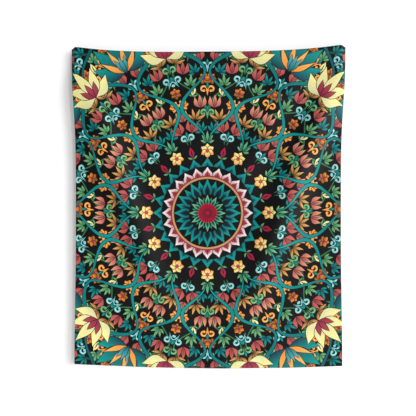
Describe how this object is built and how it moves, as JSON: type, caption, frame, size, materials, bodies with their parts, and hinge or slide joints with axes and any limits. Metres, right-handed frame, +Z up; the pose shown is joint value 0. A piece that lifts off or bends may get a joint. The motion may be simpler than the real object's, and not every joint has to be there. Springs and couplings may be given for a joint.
{
  "type": "tapestry wall hanging",
  "caption": "Large hemmed cloth wall hanging with a black ground and a round petal pattern, hung flat on a wall from moulded hangers sewn behind its top corners.",
  "frame": {"origin": "midway between the centres of the two nail holes, in the hangers' mid-plane", "axes": "+X to the right seen from the front, +Y towards the wall, +Z up; the printed face looks along -Y"},
  "size_m": [1.76, 0.0605, 2.0597],
  "materials": {
    "printed_cloth": "satin",
    "black_thread": "matte",
    "twill_ribbon": "matte",
    "moulded_nylon": "gloss"
  },
  "bodies": {
    "hangers": {"hanger_left": "moulded_nylon", "hanger_right": "moulded_nylon"},
    "cloth": {"fabric_panel": "printed_cloth", "hem_top": "printed_cloth", "hem_bottom": "printed_cloth", "hem_left": "printed_cloth", "hem_right": "printed_cloth", "stitching_top": "black_thread", "stitching_bottom": "black_thread", "stitching_left": "black_thread", "stitching_right": "black_thread", "ribbon_tab_left": "twill_ribbon", "ribbon_tab_right": "twill_ribbon", "tab_stitching_left": "black_thread", "tab_stitching_right": "black_thread"}
  },
  "joints": [
    {"name": "cloth_swing", "type": "hinge", "parent": "hangers", "child": "cloth", "pos_m": [0, 0, -0.0075], "axis": [-1, 0, 0], "range_deg": [0, 25]}
  ]
}
